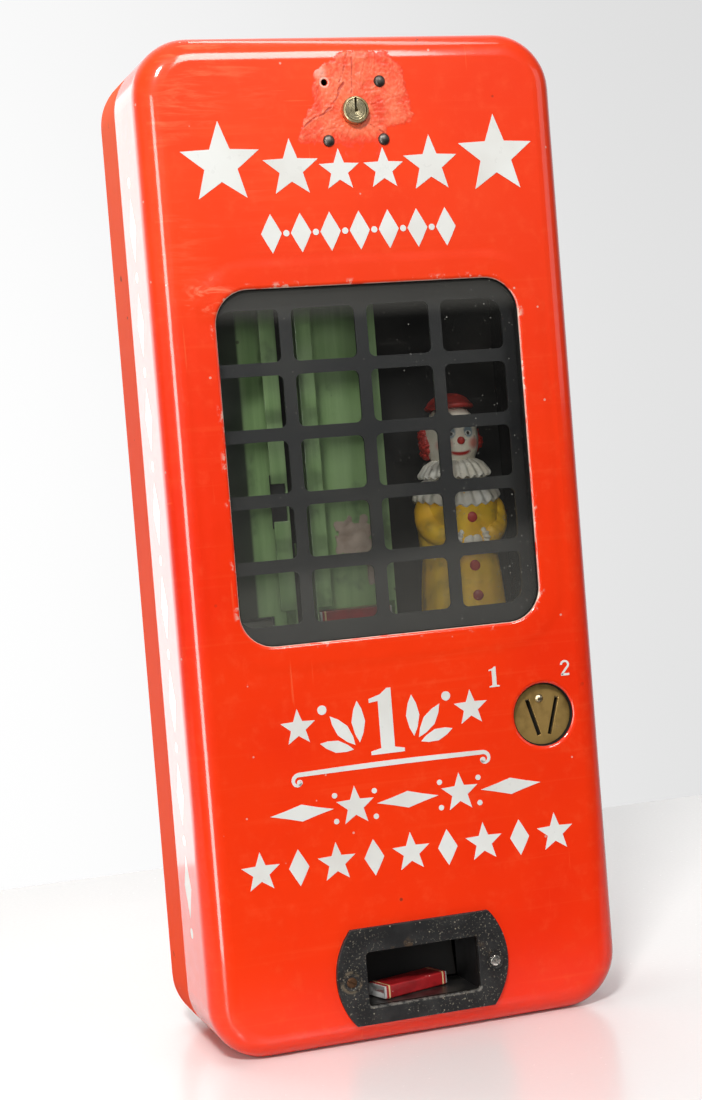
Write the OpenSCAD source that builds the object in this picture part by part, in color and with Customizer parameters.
// Antique coin-operated gum vendor: an enamelled pull-off cover over a rear pan
// that carries two gum columns, a clockwork turning figure and a coin head.
// X runs across, +Y runs back from the front face, +Z is up, origin at the base centre.

/* [Case] */
// Overall width of the case
case_w = 220; // [205:1:270]
// Overall height of the case
case_h = 508; // [480:1:620]
// Depth from the cover's front face to the pan's back
case_d = 104; // [100:1:130]
// Depth of the front cover, up to the seam with the pan
cover_d = 56; // [50:1:64]
// Corner radius seen from the front
corner_r = 29; // [24:1:36]
// Rounding of the cover's front edge
front_fillet = 13; // [8:0.5:16]
// Rounding of the pan's back edge
back_fillet = 12; // [8:0.5:16]
// Thickness of the enamelled sheet
shell_t = 1.6; // [1.2:0.1:2]
// Length of the pan's lip inside the cover
lip_len = 8; // [5:0.5:12]
// Thickness of the lip
lip_t = 1.2; // [1:0.1:1.6]

/* [Wall mounting] */
// Distance across between the wall screw holes
wall_dx = 176; // [150:1:184]
// Distance up between the wall screw holes
wall_dz = 360; // [340:1:364]
// Radius of a wall screw hole
wall_hole_r = 3.2; // [2.5:0.1:4]

/* [Window] */
// Width of the window opening
window_w = 158.6; // [140:0.2:168]
// Height of the window opening
window_h = 176; // [146:1:190]
// Corner radius of the window opening
window_r = 17; // [12:0.5:22]
// Height of the window's centre above the base
window_z = 294; // [285:1:310]
// Radius of the window's rolled-in edge
window_edge_r = 2.4; // [2:0.1:3]
// Thickness of the glass
glass_t = 2.5; // [2:0.1:3]
// Set-back of the grille's face behind the cover's face
grille_d = 16; // [12:0.5:19]
// Openings across the grille
grille_cols = 4; // [3:1:6]
// Openings up the grille
grille_rows = 5; // [3:1:7]
// Width of a grille bar
grille_bar = 6.6; // [4:0.2:9]
// Sheet thickness of the grille
grille_t = 1.4; // [1:0.1:2]

/* [Lock] */
// Drop from the case's top to the lock's axis
lock_drop = 39.3; // [36:0.1:46]
// Radius of the lock's front ring
lock_ring_r = 6.9; // [6:0.1:8]
// Radius of the turning plug
plug_r = 4.2; // [3.5:0.1:4.6]
// How far the lock stands proud of the cover
lock_proud = 4; // [3.8:0.1:5]
// Length of the lock's cam from its axis
cam_len = 22; // [20:0.5:24]
// Spacing of the rivets round the lock
rivet_pitch = 29; // [27:0.5:31]

/* [Coin head] */
// Inset of the coin head's axis from the case's right side
coin_inset = 33; // [30:0.5:36]
// Height of the coin head's axis
coin_z = 156; // [150:1:158]
// Radius of the round hole in the cover
coin_hole_r = 15.6; // [13:0.1:17]
// Radius of the hole's rolled-in edge
coin_edge_r = 3; // [2:0.1:3.4]
// Set-back of the brass coin plate behind the cover's face
coin_recess = 5; // [4.5:0.1:6]
// Length of a coin slot
coin_slot_l = 20; // [18:0.1:22]
// Width of a coin slot
coin_slot_w = 2.2; // [1.8:0.1:2.6]
// Lean of each coin slot from upright, in degrees
coin_lean = 16; // [12:1:18]
// Distance between the middles of the two slots
coin_slot_gap = 12; // [11.4:0.1:13]
// Shift of the pair of slots to the right of the head's axis
coin_slot_x = 1.5; // [0:0.1:2]

/* [Delivery] */
// Width of the delivery plate over its bowed ends
plate_w = 92; // [84:1:100]
// Height of the delivery plate
plate_h = 49; // [45:1:52]
// Bow of the delivery plate's ends
plate_bow = 9; // [6:0.5:12]
// Thickness of the delivery plate
plate_t = 2.6; // [2:0.1:2.8]
// Width of the delivery mouth
mouth_w = 60; // [50:1:66]
// Height of the delivery mouth
mouth_h = 27.6; // [24:0.1:30]
// Height of the mouth's sill above the base
mouth_z = 20; // [19:0.5:22]
// Depth of the cup behind the mouth
cup_d = 33; // [28:0.5:34]
// Distance between the two plate screws
plate_screw_dx = 77.4; // [72:0.1:82]

/* [Gum packet] */
// Length of a packet
pack_l = 40; // [34:0.5:48]
// Width of a packet
pack_w = 15; // [12:0.5:18]
// Thickness of a packet
pack_t = 7; // [5:0.5:8.5]
// Turn of the packet that lies in the cup, in degrees
pack_turn = 18; // [0:1:25]

/* [Gum columns] */
// Place of the right column's middle
column_x = -4.4; // [-8:0.2:0]
// Gap between the two columns
column_gap = 10.6; // [6:0.2:14]
// Width of each front lip
column_lip = 8.8; // [6:0.2:11]
// Sheet thickness of a column
column_t = 1.2; // [0.8:0.1:1.6]
// Height of the columns' floor
column_z = 210; // [206:1:212]
// Drop from the case's top to the columns' tops
column_drop = 62; // [56:1:80]
// Stroke of an ejector slide
eject_stroke = 20; // [14:0.5:20]
// Curls of an ejector's return spring
spring_curls = 8; // [6:1:9]

/* [Movement] */
// Module of the gear teeth
gear_m = 0.6; // [0.58:0.01:0.61]
// Teeth of the great wheel
great_teeth = 60; // [56:4:60]
// Teeth of the figure's gear
figure_teeth = 30; // [28:1:30]
// Teeth of the second pinion
second_pinion_teeth = 12; // [11:1:13]
// Teeth of the second wheel
second_wheel_teeth = 45; // [40:1:46]
// Teeth of the fly's pinion
fly_teeth = 9; // [9:1:10]
// Height of the movement's lower plate
movement_z = 118; // [116:1:120]
// Height over both plates of the movement
movement_h = 54; // [52:1:56]
// Thickness of the movement plates
movement_t = 2; // [1.6:0.1:2.4]
// Radius of the figure's spindle
spindle_r = 3; // [2.4:0.1:3.4]

/* [Figure] */
// Inset of the figure's axis from the case's right side
figure_inset = 52; // [50:0.5:54]
// Height of the cast figure
figure_h = 148; // [130:1:160]
// Radius of the turntable
turntable_r = 24; // [22:0.5:25]

/* [Fits] */
// Radial clearance of a turning or sliding fit
run_fit = 0.05; // [0.02:0.01:0.08]
// Clearance between pieces that slide past or rest loosely
slide_gap = 0.3; // [0.3:0.05:0.5]
// Gap at the seam between cover and pan
seam_gap = 0.4; // [0.3:0.1:1]
// Radial clearance of a fixed pin in its hole
pin_fit = 0.03; // [0.02:0.01:0.06]

/* [Hidden] */
$fn = 72;

enamel = [0.90, 0.22, 0.08];
japan = [0.13, 0.13, 0.14];
green = [0.42, 0.58, 0.40];
steel = [0.62, 0.62, 0.60];
dark_steel = [0.32, 0.31, 0.30];
nickel = [0.76, 0.74, 0.68];
brass = [0.66, 0.53, 0.25];
cast_black = [0.16, 0.16, 0.16];
glass = [0.80, 0.88, 0.90, 0.35];
suit_yellow = [0.82, 0.62, 0.16];
packet_red = [0.74, 0.10, 0.12];

// Case reference planes: d is the depth behind the cover's face
yf = (lock_proud - case_d) / 2;
half_w = case_w / 2;
pan_front = cover_d + seam_gap;
lip_r = corner_r - shell_t - slide_gap;
cut = 1;

// Frame plate that carries the works
frame_back_gap = 18;
frame_t = 1.5;
frame_edge = 12;
frame_r = 20;
frame_d = case_d - frame_back_gap;
frame_w = case_w - 2 * frame_edge;
frame_z0 = 16;
frame_z1 = case_h - 10;
spacer_r = 5;
screw_r = 2;
screw_head_r = 4;
screw_head_t = 2.2;
wall_sites = [for (sx = [-1, 1], sz = [-1, 1]) [sx * wall_dx / 2, case_h / 2 + sz * wall_dz / 2]];
spacer_low = [frame_w / 2 - 36, 82];
spacer_top = [frame_w / 2 - 12, case_h - 36];
spacer_sites = [for (m = [-1, 1], s = [spacer_low, spacer_top]) [m * s[0], s[1]]];
rivet_r = 1.5;
rivet_head_r = 2.8;
rivet_head_t = 1.3;

// Lock and its catch
lock_z = case_h - lock_drop;
lock_plate_w = 46;
lock_plate_t = 1.6;
barrel_r = 5.6;
barrel_end_d = 16.8;
lock_nut_t = 4;
lock_nut_r = 8.2;
cam_t = 2;
cam_w = 10;
catch_w = 24;
catch_t = 2;
catch_d = 13;
catch_z = case_h - 11;
catch_hook = 13;
catch_foot = 18;
lock_rivet_r = 1.6;
lock_rivet_head_r = 3;
lock_rivet_head_t = 1.7;
lock_rivet_sites = [for (sx = [-1, 1], sz = [-1, 1]) [sx * rivet_pitch / 2, lock_z + sz * rivet_pitch / 2]];
lock_rivet_set = [for (s = lock_rivet_sites) if (s[0] > 0 || s[1] < lock_z) s];

// Window glazing
glass_lap = 6.7;
glass_r = window_r + 3;
glass_d = window_edge_r + 0.2;
tray_lap = 4;
tray_r = window_r + tray_lap;
tray_flange = 7;
tray_d = glass_d + glass_t + 0.2;
tray_w = window_w + 2 * tray_lap;
tray_h = window_h + 2 * tray_lap;
grille_open_w = window_w - 4.6;
grille_open_h = window_h - 17;
grille_cell_w = (grille_open_w - (grille_cols - 1) * grille_bar) / grille_cols;
grille_cell_h = (grille_open_h - (grille_rows - 1) * grille_bar) / grille_rows;
grille_cell_r = 3.2;
grille_corner_r = 9;
stud_r = 1.6;
stud_end = tray_d + 5;
stud_sites = [
  for (sx = [-1, 1], sz = [-1, 1])
    [sx * window_w * 0.38, window_z + sz * (tray_h / 2 + grille_t + tray_flange / 2)]
];
nut_r = 3.4;
nut_t = 2.6;

// Delivery plate, cup and chute
plate_end_r = (pow(plate_h / 2, 2) + pow(plate_bow, 2)) / (2 * plate_bow);
plate_z = mouth_z + mouth_h / 2 + 1.6;
mouth_mid = mouth_z + mouth_h / 2;
mouth_r = 2;
cup_t = 1.2;
cup_flange_w = plate_screw_dx + 11;
cup_flange_h = mouth_h + 14;
plate_screw_z = mouth_mid;
plate_screw_head_r = 4.2;
plate_screw_head_t = 1;
pack_d = 18.5;

// Gum columns and ejectors
pack_play = 0.8;
column_w = pack_l + 2 * (pack_play + column_t);
column_depth = pack_w + 2 * (pack_play + column_t);
column_back_gap = 20;
column_d1 = frame_d - column_back_gap;
column_d0 = column_d1 - column_depth;
column_left_x = column_x - column_w - column_gap;
column_top = case_h - column_drop;
column_sites = [column_left_x, column_x];
column_mouth_h = pack_t + 2.4;
punch_w = 8.6;
punch_h = 19.5;
punch_z = 276;
shelf_t = 2;
shelf_skirt = 16;
shelf_side = 3;
ejector_w = 26;
ejector_t = 4;
ejector_nose = column_d1 - column_t - pack_play + slide_gap;
ejector_tail = frame_d + 11;
lug_w = 6;
lug_t = 4;
lug_d = frame_d - 7;
rod_r = 1.5;
rod_drop = 9;
rod_z = column_z - rod_drop;
tab_d = column_d0 + 1;
tab_t = 1.6;
tab_w = 14;
guide_t = 1.2;
guide_d = column_d1 + 5;
guide_len = 7;
wire_r = 0.45;
coil_r = 3;
spring_d0 = tab_d + tab_t + slide_gap + wire_r;
spring_d1 = lug_d - slide_gap - wire_r;
spring_sides = 6;
spring_rings = 8;

// Hat-shaped brackets between the columns or the chute and the frame plate
hat_w = 26;
hat_h = 14;
hat_t = 1.2;
hat_foot = 9;
column_bracket_z = [column_z + 36, column_top - 30];
chute_bracket_sites = [[-26, 162], [0, 96]];
column_bracket_sites = [for (x = column_sites, z = column_bracket_z) [x, z]];

// Drop chute below the columns
chute_t = 1;
chute_d0 = grille_d + 3;
chute_top = column_z - shelf_skirt - 1;
chute_low = mouth_z + 50;
chute_left = column_left_x - column_w / 2 - 2;
chute_right = column_x + column_w / 2 + 4;

// Clockwork movement, vertical arbors between two plates
figure_x = half_w - figure_inset;
figure_d = frame_d - 32;
movement_depth = 53;
movement_d0 = frame_d - movement_depth;
movement_top = movement_z + movement_h;
backlash = 0.1;
figure_pitch_r = gear_m * figure_teeth / 2;
great_pitch_r = gear_m * great_teeth / 2;
great_x = figure_x + figure_pitch_r + great_pitch_r + backlash;
great_d = figure_d;
second_angle = 135;
second_reach = gear_m * (great_teeth + second_pinion_teeth) / 2 + backlash;
second_x = great_x + second_reach * cos(second_angle);
second_d = great_d + second_reach * sin(second_angle);
fly_angle = 180;
fly_reach = gear_m * (second_wheel_teeth + fly_teeth) / 2 + backlash;
fly_x = second_x + fly_reach * cos(fly_angle);
fly_d = second_d + fly_reach * sin(fly_angle);
great_phase = 180;
figure_phase = mesh_phase(180, great_phase, great_teeth, figure_teeth);
second_pinion_phase = mesh_phase(second_angle, great_phase, great_teeth, second_pinion_teeth);
second_wheel_phase = 180;
fly_phase = mesh_phase(fly_angle, second_wheel_phase, second_wheel_teeth, fly_teeth);
movement_x0 = figure_x - 18;
movement_x1 = great_x + great_pitch_r + 1.5;
wheel_t = 2;
great_t = 3;
great_z = movement_z + 40;
second_z = movement_z + 30;
barrel_z0 = movement_z + 6;
barrel_h = 18;
spring_barrel_r = 16.4;
arbor_r = 2;
second_arbor_r = 1.5;
fly_arbor_r = 1.2;
fly_r = 10.5;
fly_h = 16;
fly_t = 0.8;
pillar_r = 3;
pillar_sites = [
  [movement_x0 + 4, movement_d0 + 4], [movement_x1 - 4, movement_d0 + 4],
  [movement_x0 + 4, frame_d - 4.5], [movement_x1 - 4, frame_d - 4.5]
];
flange_h = 22;
flange_t = 1.6;
flange_sites = [for (x = [movement_x0 + 14, movement_x1 - 14]) [x, movement_z - flange_h / 2]];
key_h = 14;
key_r = 4.2;
key_wing = 11;

// Coin head, lane and trip levers
coin_x = half_w - coin_inset;
coin_plate_t = 1.6;
coin_plate_r = coin_hole_r + 5.4;
coin_back = coin_recess + coin_plate_t;
coin_bracket_t = 1.6;
coin_bracket_d = movement_d0 - coin_bracket_t;
coin_wall = 0.8;
lane_gap = 2.8;
lane_z0 = movement_z - 18;
lane_x = coin_x + coin_slot_x;
slot_drop = 1.5;
lane_z1 = coin_z - slot_drop - coin_slot_l / 2 - 2.5;
chute_lane_l = 25;
lever_t = 2.2;
lever_gap = lane_gap + coin_wall;
lever_z = movement_z - 26;
lever_d = movement_d0 + 5;
lever_pin_r = 2;
lever_boss_r = 4.6;
lever_bar = 4;
lever_front = coin_back + slide_gap;
lever_tail = frame_d - 10;
cheek_t = 1.6;
cheek_x = 10;
cheek_w = 8;

// Cash box
cash_x0 = plate_screw_dx / 2 + 10;
cash_x1 = half_w - 4 - corner_r / 2;
cash_d0 = 14;
cash_z0 = 4 + corner_r * 0.22;
cash_h = 66 - cash_z0;
cash_t = 1.2;

// Figure
turntable_t = 3;
turntable_z = movement_top + 4;
figure_z = turntable_z + turntable_t;

function mesh_phase(line, phase, teeth_a, teeth_b) =
  line + 180 + (0.5 - (phase - line) * teeth_a / 360) * 360 / teeth_b;

// Solid between two depths behind the cover's face, drawn in X and Z
module slab(d0, d1) {
  translate([0, yf + d1, 0]) rotate([90, 0, 0]) linear_extrude(d1 - d0) children();
}

// Solid between two heights, drawn in X and depth
module plan(z0, z1) {
  translate([0, yf, z0]) linear_extrude(z1 - z0) children();
}

// Solid between two places across, drawn in depth and Z
module side(x0, x1) {
  translate([x0, yf, 0]) rotate([90, 0, 90]) linear_extrude(x1 - x0) children();
}

// Round bar along the depth
module post(x, z, r, d0, d1) {
  translate([x, yf + d0, z]) rotate([-90, 0, 0]) cylinder(r = r, h = d1 - d0);
}

// Round bar upright
module shaft(x, d, r, z0, z1) {
  translate([x, yf + d, z0]) cylinder(r = r, h = z1 - z0);
}

// Round bar across
module cross_bar(d, z, r, x0, x1) {
  translate([x0, yf + d, z]) rotate([0, 90, 0]) cylinder(r = r, h = x1 - x0);
}

// Centred rectangle with true round corners
module round_rect(w, h, r) {
  square([w - 2 * r, h], center = true);
  square([w, h - 2 * r], center = true);
  for (sx = [-1, 1], sz = [-1, 1])
    translate([sx * (w / 2 - r), sz * (h / 2 - r)]) circle(r);
}

// A wall profile carried round a rounded rectangle; the profile's x is measured
// outward from the corner's centre and its y is the depth
module rim(w, h, r, z) {
  fx = w / 2 - r;
  fz = h / 2 - r;
  translate([0, yf, z]) rotate([-90, 0, 0]) {
    for (q = [0:3])
      translate([fx * (q == 0 || q == 3 ? 1 : -1), fz * (q < 2 ? 1 : -1), 0])
        rotate(90 * q) rotate_extrude(angle = 90) children();
    for (m = [0, 1]) {
      mirror([0, m, 0]) translate([-fx, fz, 0]) rotate([90, 0, 90]) linear_extrude(2 * fx) children();
      mirror([m, 0, 0]) translate([fx, fz, 0]) rotate([90, 0, 0]) linear_extrude(2 * fz) children();
    }
  }
}

// Quarter of a bent sheet's cross-section, in the quadrant given by two signs
module bend(r, t, sx, sy) {
  intersection() {
    difference() {
      circle(r);
      circle(r - t);
    }
    translate([sx < 0 ? -r : 0, sy < 0 ? -r : 0]) square(r);
  }
}

// Edge of an opening rolled inward
module rolled_edge(opening_r, edge_r) {
  translate([opening_r + edge_r, edge_r]) bend(edge_r, shell_t, -1, -1);
}

// Rivet with a low round head in front and a set tail behind
module rivet(x, z, r, head_r, head_t, d0, d1) {
  dome_r = (head_r * head_r + head_t * head_t) / (2 * head_t);
  post(x, z, r, d0, d1 + head_t / 2);
  post(x, z, r + 0.8, d1, d1 + head_t / 2);
  intersection() {
    translate([x, yf + d0 - head_t + dome_r, z]) sphere(dome_r);
    post(x, z, head_r, d0 - head_t, d0);
  }
}

// Screw with a slotted cheese head in front
module screw(x, z, r, head_r, head_t, d0, d1) {
  difference() {
    union() {
      post(x, z, head_r, d0 - head_t, d0);
      post(x, z, r, d0, d1);
    }
    slab(d0 - head_t - cut, d0 - head_t * 0.5)
      translate([x, z]) square([2 * head_r + cut, head_r * 0.28], center = true);
  }
}

// Hat-shaped sheet bracket from depth d0 to the frame plate
module hat(x, z, d0) {
  plan(z - hat_h / 2, z + hat_h / 2) translate([x, 0]) {
    translate([-hat_w / 2, d0]) square([hat_w, hat_t]);
    for (m = [0, 1])
      mirror([m, 0]) {
        translate([hat_w / 2 - hat_t, d0]) square([hat_t, frame_d - d0]);
        translate([hat_w / 2 - hat_t, frame_d - hat_t]) square([hat_foot, hat_t]);
      }
  }
}

function hat_rivets(sites) =
  [for (s = sites, m = [-1, 1]) [s[0] + m * (hat_w / 2 + hat_foot / 2 - 0.4), s[1]]];

// Gear outline with straight-sided teeth, one tooth at angle zero
module gear_outline(teeth) {
  r = gear_m * teeth / 2;
  p = 360 / teeth;
  flank = [[-0.33, -1.2], [-0.12, 0.85], [0.12, 0.85], [0.33, -1.2]];
  polygon([
    for (k = [0:teeth - 1], f = flank)
      (r + f[1] * gear_m) * [cos((k + f[0]) * p), sin((k + f[0]) * p)]
  ]);
}

// Wheel with a rim, a hub and spokes
module spoked_wheel(teeth, phase, hub_r, bore_r, spokes) {
  rim_in = gear_m * teeth / 2 - 1.2 * gear_m - 2.2;
  difference() {
    rotate(phase) gear_outline(teeth);
    difference() {
      circle(rim_in);
      circle(hub_r);
      for (k = [0:spokes - 1]) rotate(k * 360 / spokes) translate([0, -1.2]) square([rim_in + cut, 2.4]);
    }
    circle(bore_r);
  }
}

// Wall section of the cover: side, front fillet and the margin of the face
module cover_profile() {
  translate([corner_r - shell_t, front_fillet]) square([shell_t, cover_d - front_fillet]);
  translate([corner_r - front_fillet, front_fillet]) bend(front_fillet, shell_t, 1, -1);
  square([corner_r - front_fillet, shell_t]);
}

// Wall section of the pan: lip, step, side, back fillet and the margin of the back
module pan_profile() {
  translate([lip_r - lip_t, cover_d - lip_len]) square([lip_t, lip_len + seam_gap + cut]);
  translate([lip_r - lip_t, pan_front]) square([corner_r - lip_r + lip_t, shell_t]);
  translate([corner_r - shell_t, pan_front]) square([shell_t, case_d - back_fillet - pan_front]);
  translate([corner_r - back_fillet, case_d - back_fillet]) bend(back_fillet, shell_t, 1, 1);
  translate([0, case_d - shell_t]) square([corner_r - back_fillet, shell_t]);
}

// Middle of the cover's face or the pan's back, between the rims
module face_middle() {
  translate([0, case_h / 2]) square([case_w - 2 * corner_r, case_h - 2 * corner_r], center = true);
}

module rear_pan() {
  color(enamel) difference() {
    union() {
      rim(case_w, case_h, corner_r, case_h / 2) pan_profile();
      slab(case_d - shell_t, case_d) face_middle();
    }
    for (s = wall_sites) post(s[0], s[1], wall_hole_r, case_d - 2 * shell_t, case_d + cut);
    for (s = spacer_sites) post(s[0], s[1], screw_r + pin_fit, case_d - 2 * shell_t, case_d + cut);
  }
}

module frame_plate() {
  all_rivets = concat(hat_rivets(column_bracket_sites), hat_rivets(chute_bracket_sites));
  catch_rivet_list = [for (m = [-1, 1]) [m * catch_w / 4, catch_z - catch_foot / 2]];
  color(japan) difference() {
    slab(frame_d, frame_d + frame_t) difference() {
      translate([0, (frame_z0 + frame_z1) / 2]) round_rect(frame_w, frame_z1 - frame_z0, frame_r);
      for (x = column_sites)
        translate([x - ejector_w / 2 - 1, column_z - 1]) square([ejector_w + 2, ejector_t + 3]);
      for (s = wall_sites) translate(s) circle(2 * wall_hole_r);
      for (s = spacer_sites) translate(s) circle(screw_r + pin_fit);
      for (s = concat(all_rivets, catch_rivet_list)) translate(s) circle(rivet_r + pin_fit);
      for (s = flange_sites) translate(s) circle(screw_r + pin_fit);
      for (x = column_sites) translate([x, rod_z]) circle(rod_r + pin_fit);
    }
  }
}

module frame_spacers() {
  color(steel) for (s = spacer_sites)
    difference() {
      post(s[0], s[1], spacer_r, frame_d + frame_t, case_d - shell_t);
      post(s[0], s[1], screw_r + pin_fit, frame_d, case_d);
    }
}

module frame_screws() {
  color(dark_steel) for (s = spacer_sites)
    screw(s[0], s[1], screw_r, screw_head_r, screw_head_t, frame_d, case_d - 0.2);
}

// Strap whose hooked front end stands in the way of the lock's cam
module lock_catch() {
  color(steel) difference() {
    side(-catch_w / 2, catch_w / 2) {
      translate([catch_d, catch_z]) square([frame_d - catch_d, catch_t]);
      translate([catch_d, catch_z - catch_hook]) square([catch_t, catch_hook + catch_t]);
      translate([frame_d - catch_t, catch_z - catch_foot]) square([catch_t, catch_foot + catch_t]);
    }
    for (m = [-1, 1])
      post(m * catch_w / 4, catch_z - catch_foot / 2, rivet_r + pin_fit,
        frame_d - catch_t - cut, frame_d + cut);
  }
}

module catch_rivets() {
  color(dark_steel) for (m = [-1, 1])
    rivet(m * catch_w / 4, catch_z - catch_foot / 2, rivet_r, rivet_head_r, rivet_head_t,
      frame_d - catch_t, frame_d + frame_t);
}

// Folded sheet column with front lips, a mouth at the foot and a gap for the ejector
module gum_column(x) {
  difference() {
    plan(column_z, column_top) translate([x - column_w / 2, column_d0]) difference() {
      square([column_w, column_depth]);
      translate([column_t, column_t]) square([column_w - 2 * column_t, column_depth - 2 * column_t]);
      translate([column_lip, -cut]) square([column_w - 2 * column_lip, column_t + 2 * cut]);
    }
    slab(column_d0 - cut, column_d0 + column_t + cut)
      translate([x - column_w / 2 + column_t, column_z - cut])
        square([column_w - 2 * column_t, column_mouth_h + cut]);
    slab(column_d1 - column_t - cut, column_d1 + cut)
      translate([x - ejector_w / 2 - 1, column_z - cut]) square([ejector_w + 2, ejector_t + 2 + cut]);
  }
}

module column_left() {
  color(green) difference() {
    gum_column(column_left_x);
    slab(column_d0 - cut, column_d0 + column_t + cut)
      translate([column_left_x + column_w / 2 - column_t - punch_w, punch_z - punch_h / 2])
        square([punch_w, punch_h]);
  }
}

module column_right() {
  color(green) gum_column(column_x);
}

module column_brackets() {
  color(green) for (s = column_bracket_sites) hat_drilled(s, column_d1);
}

// Bracket with its two rivet holes
module hat_drilled(s, d0) {
  difference() {
    hat(s[0], s[1], d0);
    for (h = hat_rivets([s])) post(h[0], h[1], rivet_r + pin_fit, frame_d - hat_t - cut, frame_d + cut);
  }
}

module bracket_rivets() {
  color(dark_steel) for (h = concat(hat_rivets(column_bracket_sites), hat_rivets(chute_bracket_sites)))
    rivet(h[0], h[1], rivet_r, rivet_head_r, rivet_head_t, frame_d - hat_t, frame_d + frame_t);
}

// Shelf under the columns, folded down at the back, with tabs for the spring rods
module column_shelf() {
  x0 = column_left_x - column_w / 2 - shelf_side;
  x1 = column_x + column_w / 2 + shelf_side;
  slot_w = lug_w + 2 * slide_gap;
  color(green) difference() {
    union() {
      plan(column_z - shelf_t, column_z) translate([x0, column_d0]) square([x1 - x0, frame_d - column_d0]);
      slab(frame_d - tab_t, frame_d)
        translate([x0, column_z - shelf_skirt]) square([x1 - x0, shelf_skirt]);
      for (x = column_sites)
        slab(tab_d, tab_d + tab_t)
          translate([x - tab_w / 2, column_z - shelf_skirt]) square([tab_w, shelf_skirt - shelf_t / 2]);
    }
    for (x = column_sites) {
      plan(column_z - shelf_t - cut, column_z + cut)
        translate([x - slot_w / 2, lug_d - eject_stroke - slide_gap])
          square([slot_w, eject_stroke + lug_t + 2 * slide_gap]);
      post(x, rod_z, rod_r + pin_fit, tab_d - cut, frame_d + cut);
    }
  }
}

// Bridges that hold the ejectors down on the shelf
module ejector_guides() {
  inner = ejector_w / 2 + slide_gap;
  roof = column_z + ejector_t + 2 * slide_gap;
  color(steel) for (x = column_sites)
    slab(guide_d, guide_d + guide_len) translate([x, 0]) {
      for (m = [0, 1]) mirror([m, 0]) translate([inner, column_z]) square([guide_t, roof - column_z]);
      translate([-inner - guide_t, roof]) square([2 * (inner + guide_t), guide_t]);
    }
}

module spring_rods() {
  color(steel) for (x = column_sites) post(x, rod_z, rod_r, tab_d - 1.2, frame_d + frame_t);
}

// Funnel that gathers both columns' packets towards the mouth
module drop_chute() {
  top = [chute_left, chute_right];
  low = [-mouth_w / 2, mouth_w / 2];
  ramp_end = [cup_d + 2, mouth_z + 0.4];
  color(japan) {
    slab(column_d0 - chute_t, column_d0)
      polygon([[top[0], chute_top], [top[1], chute_top], [low[1], chute_low], [low[0], chute_low]]);
    slab(chute_d0, chute_d0 + chute_t)
      polygon([[top[0], chute_top - 24], [top[1], chute_top - 24], [low[1], chute_low], [low[0], chute_low]]);
    for (k = [0, 1])
      slab(chute_d0, column_d0) polygon([
        [top[k], chute_top], [top[k] + (k == 0 ? chute_t : -chute_t), chute_top],
        [low[k] + (k == 0 ? chute_t : -chute_t), chute_low], [low[k], chute_low]
      ]);
    side(-mouth_w / 2, mouth_w / 2) polygon([
      [column_d0 - chute_t, chute_low + chute_t], [column_d0, chute_low + chute_t],
      [ramp_end[0] + chute_t, ramp_end[1]], [ramp_end[0], ramp_end[1]]
    ]);
  }
}

module chute_brackets() {
  color(japan) for (s = chute_bracket_sites) hat_drilled(s, column_d0);
}

// Outline of a movement plate with a pivot hole for each arbor
module movement_outline() {
  holes = [
    [figure_x, figure_d, spindle_r], [great_x, great_d, arbor_r],
    [second_x, second_d, second_arbor_r], [fly_x, fly_d, fly_arbor_r]
  ];
  difference() {
    translate([(movement_x0 + movement_x1) / 2, movement_d0 + movement_depth / 2])
      round_rect(movement_x1 - movement_x0, movement_depth, 3);
    for (h = holes) translate([h[0], h[1]]) circle(h[2] + run_fit);
    for (s = pillar_sites) translate(s) circle(screw_r + pin_fit);
  }
}

// Lower plate, with its rear flange and the two cheeks that carry the lever rod
module movement_lower_plate() {
  color(brass) difference() {
    union() {
      plan(movement_z, movement_z + movement_t) movement_outline();
      slab(frame_d - flange_t, frame_d)
        translate([movement_x0 + 6, movement_z - flange_h])
          square([movement_x1 - movement_x0 - 12, flange_h]);
      for (m = [-1, 1])
        side(lane_x + m * cheek_x - cheek_t / 2, lane_x + m * cheek_x + cheek_t / 2)
          translate([lever_d - cheek_w / 2, lever_z - cheek_w / 2])
            square([cheek_w, movement_z - lever_z + cheek_w / 2]);
    }
    for (s = flange_sites) post(s[0], s[1], screw_r + pin_fit, frame_d - flange_t - cut, frame_d + cut);
    cross_bar(lever_d, lever_z, lever_pin_r + pin_fit, lane_x - 2 * cheek_x, lane_x + 2 * cheek_x);
  }
}

module movement_upper_plate() {
  color(brass) plan(movement_top - movement_t, movement_top) movement_outline();
}

module movement_pillars() {
  color(steel) for (s = pillar_sites)
    difference() {
      shaft(s[0], s[1], pillar_r, movement_z + movement_t, movement_top - movement_t);
      shaft(s[0], s[1], screw_r - 0.2, movement_z, movement_z + 10);
      shaft(s[0], s[1], screw_r - 0.2, movement_top - 10, movement_top);
    }
}

// Pillar screws above and below, and the two that hold the flange
module movement_screws() {
  color(dark_steel) {
    for (s = pillar_sites) {
      shaft(s[0], s[1], screw_head_r - 0.6, movement_top, movement_top + screw_head_t);
      shaft(s[0], s[1], screw_r - 0.2 - pin_fit, movement_top - 8, movement_top);
      shaft(s[0], s[1], screw_head_r - 0.6, movement_z - screw_head_t, movement_z);
      shaft(s[0], s[1], screw_r - 0.2 - pin_fit, movement_z, movement_z + 8);
    }
    for (s = flange_sites)
      screw(s[0], s[1], screw_r, screw_head_r, screw_head_t, frame_d - flange_t, frame_d + frame_t + 2);
  }
}

// Upright plate on the movement's front edges, behind the coin chutes
module coin_bracket() {
  color(brass) slab(coin_bracket_d, movement_d0)
    translate([coin_x - 18, lane_z0]) square([36, movement_top - lane_z0]);
}

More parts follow.
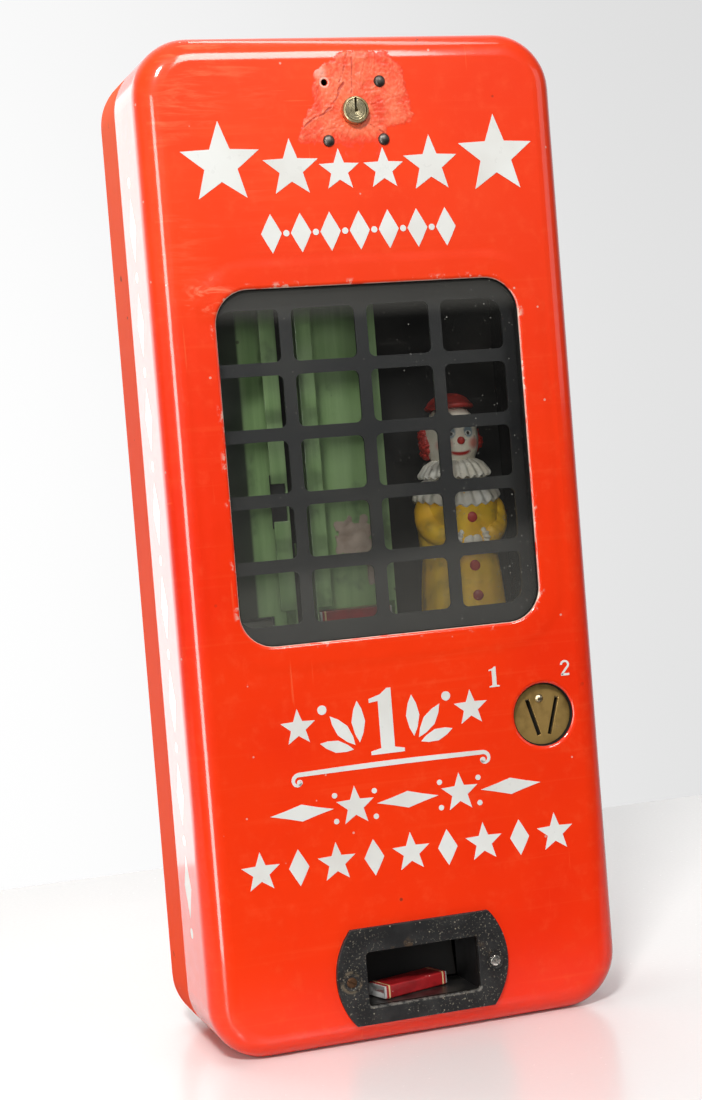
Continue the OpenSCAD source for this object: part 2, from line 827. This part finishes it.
// Coin slot placed and leaned about the head's axis, sign -1 for the left one
module at_slot(m) {
  translate([coin_slot_x + m * coin_slot_gap / 2, 0])
    rotate(-m * coin_lean) translate([0, -slot_drop]) children();
}

module coin_plate() {
  color(brass) slab(coin_recess, coin_back) translate([coin_x, coin_z]) difference() {
    circle(coin_plate_r);
    for (m = [-1, 1])
      at_slot(m) square([coin_slot_w, coin_slot_l], center = true);
    translate([0, 8]) circle(rivet_r + pin_fit);
  }
}

module coin_plate_rivet() {
  color(brass) rivet(coin_x, coin_z + 8, rivet_r, rivet_head_r - 0.6, 1, coin_recess, coin_back);
}

// Two leaning channels behind the slots
module coin_chutes() {
  color(steel) slab(coin_back, coin_bracket_d) translate([coin_x, coin_z])
    for (m = [-1, 1])
      at_slot(m) difference() {
        square([coin_slot_w + 2 * coin_wall, coin_slot_l + 2 * coin_wall], center = true);
        translate([0, -coin_wall - cut / 2])
          square([coin_slot_w + 0.2, coin_slot_l + cut], center = true);
      }
}

// Upright double lane that leads each coin down to its own lever
module coin_lane() {
  w = 2 * lane_gap + 3 * coin_wall;
  color(steel) {
    for (k = [-1, 0, 1])
      slab(coin_back, coin_bracket_d)
        translate([lane_x + k * (lane_gap + coin_wall) - coin_wall / 2, lane_z0])
          square([coin_wall, lane_z1 - lane_z0]);
    slab(coin_back, coin_back + coin_wall)
      translate([lane_x - w / 2, lane_z0]) square([w, lane_z1 - lane_z0]);
  }
}

// Lever pin with its distance collars
module lever_rod() {
  collar_r = lever_pin_r + 1.4;
  inner = lever_gap / 2 + lever_t / 2 + slide_gap;
  outer = cheek_x - cheek_t / 2 - 0.1;
  color(steel) {
    cross_bar(lever_d, lever_z, lever_pin_r, lane_x - cheek_x - 2, lane_x + cheek_x + 2);
    for (m = [0, 1])
      translate([lane_x, 0, 0]) mirror([m, 0, 0]) cross_bar(lever_d, lever_z, collar_r, inner, outer);
  }
}

// Trip lever: coin finger in front, weighted tail behind
module coin_lever(x) {
  color(steel) difference() {
    side(x - lever_t / 2, x + lever_t / 2) {
      translate([lever_d, lever_z]) circle(lever_boss_r);
      translate([lever_front, lever_z]) square([lever_d - lever_front, lever_bar]);
      translate([lever_front, lever_z]) square([2, lane_z0 - lever_z - slide_gap]);
      translate([lever_d, lever_z - lever_bar]) square([lever_tail - lever_d, lever_bar]);
      translate([lever_tail - 8, lever_z - lever_bar / 2]) circle(6);
    }
    cross_bar(lever_d, lever_z, lever_pin_r + run_fit, x - lever_t, x + lever_t);
  }
}

module coin_lever_left() {
  coin_lever(lane_x - lever_gap / 2);
}

module coin_lever_right() {
  coin_lever(lane_x + lever_gap / 2);
}

// Open sheet box for the coins, hung on the frame plate, with a rolled front edge
module cash_box() {
  color(japan) {
    difference() {
      plan(cash_z0, cash_z0 + cash_h)
        translate([cash_x0, cash_d0]) square([cash_x1 - cash_x0, frame_d - cash_d0]);
      plan(cash_z0 + cash_t, cash_z0 + cash_h + cut)
        translate([cash_x0 + cash_t, cash_d0 + cash_t])
          square([cash_x1 - cash_x0 - 2 * cash_t, frame_d - cash_d0 - 2 * cash_t]);
    }
    cross_bar(cash_d0 + cash_t / 2, cash_z0 + cash_h, 1.4, cash_x0, cash_x1);
  }
}

// Drawn front cover with its rolled window and coin hole
module front_shell() {
  color(enamel) {
    difference() {
      union() {
        rim(case_w, case_h, corner_r, case_h / 2) cover_profile();
        slab(0, shell_t) face_middle();
      }
      slab(-cut, shell_t + cut) {
        translate([0, window_z])
          round_rect(window_w + 2 * window_edge_r, window_h + 2 * window_edge_r, window_r + window_edge_r);
        translate([coin_x, coin_z]) circle(coin_hole_r + coin_edge_r);
        translate([0, lock_z]) circle(barrel_r + pin_fit);
        for (s = lock_rivet_sites) translate(s) circle(lock_rivet_r + pin_fit);
        translate([0, mouth_mid]) round_rect(mouth_w, mouth_h, mouth_r);
        for (m = [-1, 1])
          translate([m * plate_screw_dx / 2, plate_screw_z]) circle(screw_r + pin_fit);
      }
    }
    rim(window_w, window_h, window_r, window_z) rolled_edge(window_r, window_edge_r);
    translate([coin_x, yf, coin_z]) rotate([-90, 0, 0])
      rotate_extrude() rolled_edge(coin_hole_r, coin_edge_r);
  }
}

module window_glass() {
  color(glass) slab(glass_d, glass_d + glass_t)
    translate([0, window_z]) round_rect(window_w + 2 * glass_lap, window_h + 2 * glass_lap - 1, glass_r);
}

// Pressed tray: a flange against the glass, a deep wall and a face of barred openings
module window_grille() {
  stop_d = grille_d + grille_t;
  color(japan) difference() {
    union() {
      slab(tray_d, stop_d) translate([0, window_z]) difference() {
        round_rect(tray_w + 2 * grille_t, tray_h + 2 * grille_t, tray_r + grille_t);
        round_rect(tray_w, tray_h, tray_r);
      }
      slab(tray_d, tray_d + grille_t) translate([0, window_z]) difference() {
        round_rect(tray_w + 2 * tray_flange, tray_h + 2 * tray_flange + 2 * grille_t, tray_r + tray_flange);
        round_rect(tray_w, tray_h, tray_r);
      }
      slab(grille_d, stop_d) translate([0, window_z]) difference() {
        round_rect(tray_w + grille_t, tray_h + grille_t, tray_r);
        grille_cells();
      }
    }
    for (s = stud_sites) post(s[0], s[1], stud_r + pin_fit, tray_d - cut, tray_d + grille_t + cut);
  }
}

// The openings between the bars, those at the corners cut round
module grille_cells() {
  intersection() {
    round_rect(grille_open_w, grille_open_h, grille_corner_r);
    for (i = [0:grille_cols - 1], j = [0:grille_rows - 1])
      translate([
        (i - (grille_cols - 1) / 2) * (grille_cell_w + grille_bar),
        (j - (grille_rows - 1) / 2) * (grille_cell_h + grille_bar)
      ]) round_rect(grille_cell_w, grille_cell_h, grille_cell_r);
  }
}

module grille_studs() {
  color(steel) for (s = stud_sites) post(s[0], s[1], stud_r, shell_t, stud_end);
}

module grille_nuts() {
  color(steel) for (s = stud_sites)
    difference() {
      translate([s[0], yf + tray_d + grille_t, s[1]]) rotate([-90, 0, 0])
        cylinder(r = nut_r, h = nut_t, $fn = 6);
      post(s[0], s[1], stud_r + pin_fit, tray_d, stud_end + cut);
    }
}

// Stiffening plate behind the cover round the lock
module lock_plate() {
  color(dark_steel) slab(shell_t, shell_t + lock_plate_t) difference() {
    translate([0, lock_z]) round_rect(lock_plate_w, lock_plate_w, 5);
    translate([0, lock_z]) circle(barrel_r + pin_fit);
    for (s = lock_rivet_sites) translate(s) circle(lock_rivet_r + pin_fit);
  }
}

// Three rivets; the fourth place is an empty hole
module lock_rivets() {
  color(dark_steel) for (s = lock_rivet_set)
    rivet(s[0], s[1], lock_rivet_r, lock_rivet_head_r, lock_rivet_head_t, 0, shell_t + lock_plate_t);
}

// Lock body: chamfered front ring and a long barrel bored for the plug
module lock_barrel() {
  color(nickel) translate([0, yf, lock_z]) rotate([-90, 0, 0]) rotate_extrude() polygon([
    [plug_r + run_fit, -lock_proud], [lock_ring_r - 1, -lock_proud], [lock_ring_r, -lock_proud + 1.2],
    [lock_ring_r, 0], [barrel_r, 0], [barrel_r, barrel_end_d], [plug_r + run_fit, barrel_end_d]
  ]);
}

module lock_nut() {
  d0 = shell_t + lock_plate_t;
  color(nickel) difference() {
    translate([0, yf + d0, lock_z]) rotate([-90, 0, 0]) cylinder(r = lock_nut_r, h = lock_nut_t, $fn = 6);
    post(0, lock_z, barrel_r + pin_fit, d0 - cut, d0 + lock_nut_t + cut);
  }
}

// Turning plug with its keyhole
module lock_plug() {
  face = -lock_proud + 0.4;
  color(brass) difference() {
    post(0, lock_z, plug_r, face, barrel_end_d + slide_gap);
    slab(face - cut, face + 6) translate([0, lock_z]) {
      square([1.3, 5.2], center = true);
      translate([0, 2]) circle(1.1);
    }
  }
}

// Cam on the plug's back end, hanging down while unlocked
module lock_cam() {
  d0 = barrel_end_d + slide_gap;
  color(steel) {
    slab(d0, d0 + cam_t) translate([0, lock_z]) {
      circle(cam_w / 2);
      translate([-cam_w / 2, -cam_len]) square([cam_w, cam_len]);
    }
    post(0, lock_z, 3.2, d0 + cam_t, d0 + cam_t + 2);
  }
}

// Delivery plate: straight top and foot, bowed ends, a mouth and two screw holes
module chute_plate() {
  bow_x = plate_w / 2 - plate_end_r;
  color(cast_black) difference() {
    slab(-plate_t, 0) translate([0, plate_z]) intersection() {
      square([plate_w, plate_h], center = true);
      for (m = [-1, 1]) translate([m * bow_x, 0]) circle(plate_end_r);
    }
    slab(-plate_t - cut, cut) {
      translate([0, mouth_mid]) round_rect(mouth_w, mouth_h, mouth_r);
      for (m = [-1, 1]) translate([m * plate_screw_dx / 2, plate_screw_z]) circle(screw_r + pin_fit);
    }
  }
}

module chute_screws() {
  color(steel) for (m = [-1, 1])
    screw(m * plate_screw_dx / 2, plate_screw_z, screw_r, plate_screw_head_r, plate_screw_head_t,
      -plate_t, shell_t + cup_t + 2);
}

// Flanged cup behind the mouth, open at the back for the falling packet
module chute_cup() {
  color(japan) difference() {
    union() {
      slab(shell_t, shell_t + cup_t)
        translate([0, mouth_mid]) round_rect(cup_flange_w, cup_flange_h, 4);
      slab(shell_t, cup_d) translate([0, mouth_mid])
        square([mouth_w + 2 * cup_t, mouth_h + 2 * cup_t], center = true);
    }
    slab(0, cup_d + cut) translate([0, mouth_mid]) square([mouth_w, mouth_h], center = true);
    for (m = [-1, 1])
      post(m * plate_screw_dx / 2, plate_screw_z, screw_r + pin_fit, shell_t - cut, shell_t + cup_t + cut);
  }
}

// Cast clown: revolved robe, ruff, head and cap, with hair at the sides and folded arms
module figure() {
  s = figure_h / 148;
  color(suit_yellow) translate([figure_x, yf + figure_d, figure_z]) scale(s) {
    rotate_extrude() polygon([
      [0, 0], [22, 0], [23.4, 3], [23.2, 34], [22, 58], [20, 69], [20, 72],
      [22, 79], [22.6, 86], [21, 94], [16, 101], [10, 104], [0, 104]
    ]);
    translate([0, 0, 99]) rotate_extrude() polygon([
      [0, 0], [16, 0], [21, 3], [21.5, 6], [18, 9], [19, 12], [15, 15], [8, 16], [0, 16]
    ]);
    translate([0, 0, 127]) sphere(15.2);
    translate([0, -14.6, 126]) sphere(2.8);
    translate([0, 0, 134]) rotate_extrude() polygon([
      [0, 0], [14, 0], [14.8, 2], [12.4, 8], [7, 12.4], [0, 14]
    ]);
    for (m = [0, 1])
      mirror([m, 0, 0]) {
        translate([13, 1, 122]) sphere(5.4);
        hull() {
          translate([14, 0, 93]) sphere(6.4, $fn = 24);
          translate([18, -5, 77]) sphere(6.4, $fn = 24);
        }
        hull() {
          translate([18, -5, 77]) sphere(6.4, $fn = 24);
          translate([5, -19.6, 71]) sphere(4.8, $fn = 24);
        }
      }
  }
}

module turntable() {
  color(japan) difference() {
    shaft(figure_x, figure_d, turntable_r, turntable_z, figure_z);
    shaft(figure_x, figure_d, spindle_r + pin_fit, turntable_z - cut, figure_z + cut);
  }
}

module figure_spindle() {
  color(steel) {
    shaft(figure_x, figure_d, spindle_r, movement_z - 2, figure_z);
    shaft(figure_x, figure_d, spindle_r + 1.6, movement_top + slide_gap, turntable_z);
  }
}

module figure_gear() {
  color(brass) translate([figure_x, yf + figure_d, great_z])
    linear_extrude(great_t) difference() {
      rotate(figure_phase) gear_outline(figure_teeth);
      circle(spindle_r + pin_fit);
    }
}

module great_wheel() {
  color(brass) translate([great_x, yf + great_d, great_z])
    linear_extrude(great_t) spoked_wheel(great_teeth, great_phase, 5, arbor_r + pin_fit, 5);
}

// Closed mainspring barrel with its raised cover
module spring_barrel() {
  color(brass) translate([great_x, yf + great_d, barrel_z0]) rotate_extrude() polygon([
    [arbor_r + pin_fit, 0], [spring_barrel_r - 1, 0], [spring_barrel_r, 1], [spring_barrel_r, barrel_h - 2],
    [spring_barrel_r - 1.4, barrel_h - 2], [spring_barrel_r - 1.4, barrel_h - 1], [5, barrel_h - 1],
    [5, barrel_h], [arbor_r + pin_fit, barrel_h]
  ]);
}

module main_arbor() {
  color(steel) shaft(great_x, great_d, arbor_r, movement_z - key_h - 1, movement_top + 1);
}

// Wing key under the movement
module winding_key() {
  z0 = movement_z - key_h - 2;
  color(nickel) difference() {
    union() {
      shaft(great_x, great_d, key_r, z0 + 4, movement_z - 1);
      translate([great_x, yf + great_d - 1, z0]) rotate([-90, 0, 0]) linear_extrude(2) {
        for (m = [-1, 1]) translate([m * (key_wing - 5), -5]) circle(5);
        translate([-key_wing + 5, -7.5]) square([2 * key_wing - 10, 5]);
      }
    }
    shaft(great_x, great_d, arbor_r + pin_fit, z0 - cut, movement_z);
  }
}

module second_wheel() {
  color(brass) translate([second_x, yf + second_d, second_z])
    linear_extrude(wheel_t)
      spoked_wheel(second_wheel_teeth, second_wheel_phase, 4, second_arbor_r + pin_fit, 4);
}

// Arbor with the pinion cut on it
module second_arbor() {
  color(steel) {
    shaft(second_x, second_d, second_arbor_r, movement_z - 1, movement_top + 1);
    translate([second_x, yf + second_d, great_z - 3])
      linear_extrude(great_t + 6) rotate(second_pinion_phase) gear_outline(second_pinion_teeth);
  }
}

// Two-bladed air brake
module fly_fan() {
  z0 = movement_z + 7;
  color(brass) translate([fly_x, yf + fly_d, z0]) difference() {
    union() {
      cylinder(r = 2.6, h = fly_h);
      translate([-fly_r, -fly_t / 2, 0]) cube([2 * fly_r, fly_t, fly_h]);
    }
    translate([0, 0, -cut]) cylinder(r = fly_arbor_r + pin_fit, h = fly_h + 2 * cut);
  }
}

module fly_arbor() {
  color(steel) {
    shaft(fly_x, fly_d, fly_arbor_r, movement_z - 1, movement_top + 1);
    translate([fly_x, yf + fly_d, second_z - 3])
      linear_extrude(wheel_t + 6) rotate(fly_phase) gear_outline(fly_teeth);
  }
}

// Slide that pushes the lowest packet out, with a lug on the spring rod
module ejector(x) {
  z0 = column_z + slide_gap;
  color(steel) difference() {
    union() {
      plan(z0, z0 + ejector_t)
        translate([x - ejector_w / 2, ejector_nose]) square([ejector_w, ejector_tail - ejector_nose]);
      slab(lug_d, lug_d + lug_t)
        translate([x - lug_w / 2, rod_z - 4]) square([lug_w, z0 + ejector_t - rod_z + 4]);
    }
    post(x, rod_z, rod_r + run_fit, lug_d - cut, lug_d + lug_t + cut);
  }
}

module ejector_left() {
  ejector(column_left_x);
}

module ejector_right() {
  ejector(column_x);
}

// Points round the wire at one ring of a helix that climbs along the depth
function coil_ring(i, turns, span) =
  let (
    a = 360 * i / spring_rings,
    tangent = [-sin(a) * coil_r * 2 * PI * turns, cos(a) * coil_r * 2 * PI * turns, span],
    t = tangent / norm(tangent),
    out = [cos(a), sin(a), 0],
    across = cross(t, out)
  )
  [for (k = [0:spring_sides - 1])
    let (b = 360 * k / spring_sides)
    coil_mid(i, turns, span) + wire_r * (cos(b) * out + sin(b) * across)];

function coil_mid(i, turns, span) =
  let (a = 360 * i / spring_rings) [coil_r * cos(a), coil_r * sin(a), span * i / (turns * spring_rings)];

// One unbroken wire from end to end
module coil(turns, span) {
  count = turns * spring_rings;
  n = spring_sides;
  rings = [for (i = [0:count]) coil_ring(i, turns, span)];
  points = concat([for (r = rings) each r], [coil_mid(0, turns, span), coil_mid(count, turns, span)]);
  walls = [
    for (i = [0:count - 1], k = [0:n - 1])
      let (a = i * n + k, b = i * n + (k + 1) % n)
      each [[a, b, b + n], [a, b + n, a + n]]
  ];
  first = [for (k = [0:n - 1]) [(k + 1) % n, k, (count + 1) * n]];
  last = [for (k = [0:n - 1]) [count * n + k, count * n + (k + 1) % n, (count + 1) * n + 1]];
  polyhedron(points, concat(walls, first, last));
}

module ejector_spring(x) {
  color(steel) translate([x, yf + spring_d0, rod_z]) rotate([-90, 0, 0])
    coil(spring_curls, spring_d1 - spring_d0);
}

module ejector_spring_left() {
  ejector_spring(column_left_x);
}

module ejector_spring_right() {
  ejector_spring(column_x);
}

// Wrapped packet: a block with pinched foil ends
module packet() {
  foil = 1.6;
  cube([pack_l - 2 * foil, pack_w, pack_t], center = true);
  cube([pack_l, pack_w - 1.6, pack_t - 2.4], center = true);
}

module column_pack() {
  color(packet_red)
    translate([
      column_x, yf + column_d1 - column_t - pack_play - pack_w / 2, column_z + slide_gap + pack_t / 2
    ]) packet();
}

module gum_pack() {
  color(packet_red)
    translate([-2.4, yf + pack_d, mouth_z + slide_gap + pack_t / 2]) rotate(pack_turn) packet();
}

// Least gap between neighbouring curls of a return spring, measured on the wire's points
curl_points = [for (i = [0:spring_rings]) each coil_ring(i, spring_curls, spring_d1 - spring_d0)];
next_curl = [
  for (i = [spring_rings:2 * spring_rings]) each coil_ring(i, spring_curls, spring_d1 - spring_d0)
];
spring_curl_gap = min([for (a = curl_points, b = next_curl) if (abs(a[2] - b[2]) > wire_r) norm(a - b)]);
echo(spring_curl_gap = spring_curl_gap);

rear_pan();
frame_plate();
frame_spacers();
frame_screws();
lock_catch();
catch_rivets();
column_left();
column_right();
column_brackets();
bracket_rivets();
column_shelf();
ejector_guides();
spring_rods();
drop_chute();
chute_brackets();
movement_lower_plate();
movement_upper_plate();
movement_pillars();
movement_screws();
coin_bracket();
coin_plate();
coin_plate_rivet();
coin_chutes();
coin_lane();
lever_rod();
cash_box();
front_shell();
window_glass();
window_grille();
grille_studs();
grille_nuts();
lock_plate();
lock_rivets();
lock_barrel();
lock_nut();
chute_plate();
chute_screws();
chute_cup();
lock_plug();
lock_cam();
figure();
turntable();
figure_spindle();
figure_gear();
great_wheel();
spring_barrel();
main_arbor();
winding_key();
second_wheel();
second_arbor();
fly_fan();
fly_arbor();
ejector_left();
ejector_right();
ejector_spring_left();
ejector_spring_right();
column_pack();
coin_lever_left();
coin_lever_right();
gum_pack();
